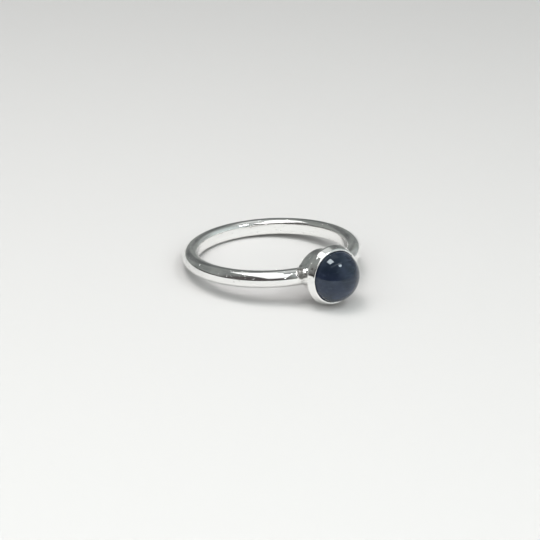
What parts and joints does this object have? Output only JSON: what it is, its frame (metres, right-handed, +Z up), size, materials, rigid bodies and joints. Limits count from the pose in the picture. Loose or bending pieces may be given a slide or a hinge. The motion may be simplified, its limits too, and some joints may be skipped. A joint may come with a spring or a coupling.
{
  "type": "tiger eye ring",
  "caption": "Stacking ring of round silver wire with a closed round bezel on a short flared foot, holding a high-domed dark blue cabochon.",
  "frame": {"origin": "bottom centre of the whole ring's box, on the surface that it lies on", "axes": "+X towards the stone, along the ring's length as it lies; +Z up, away from the surface; +Y across the band"},
  "size_m": [0.0248, 0.021, 0.007],
  "materials": {
    "silver": "polished silver with fine wear scratches",
    "stone": "polished dark blue tiger eye, glassy with a faint silky sheen"
  },
  "bodies": {
    "root": {"silver_ring": "silver", "cabochon": "stone"}
  },
  "joints": []
}
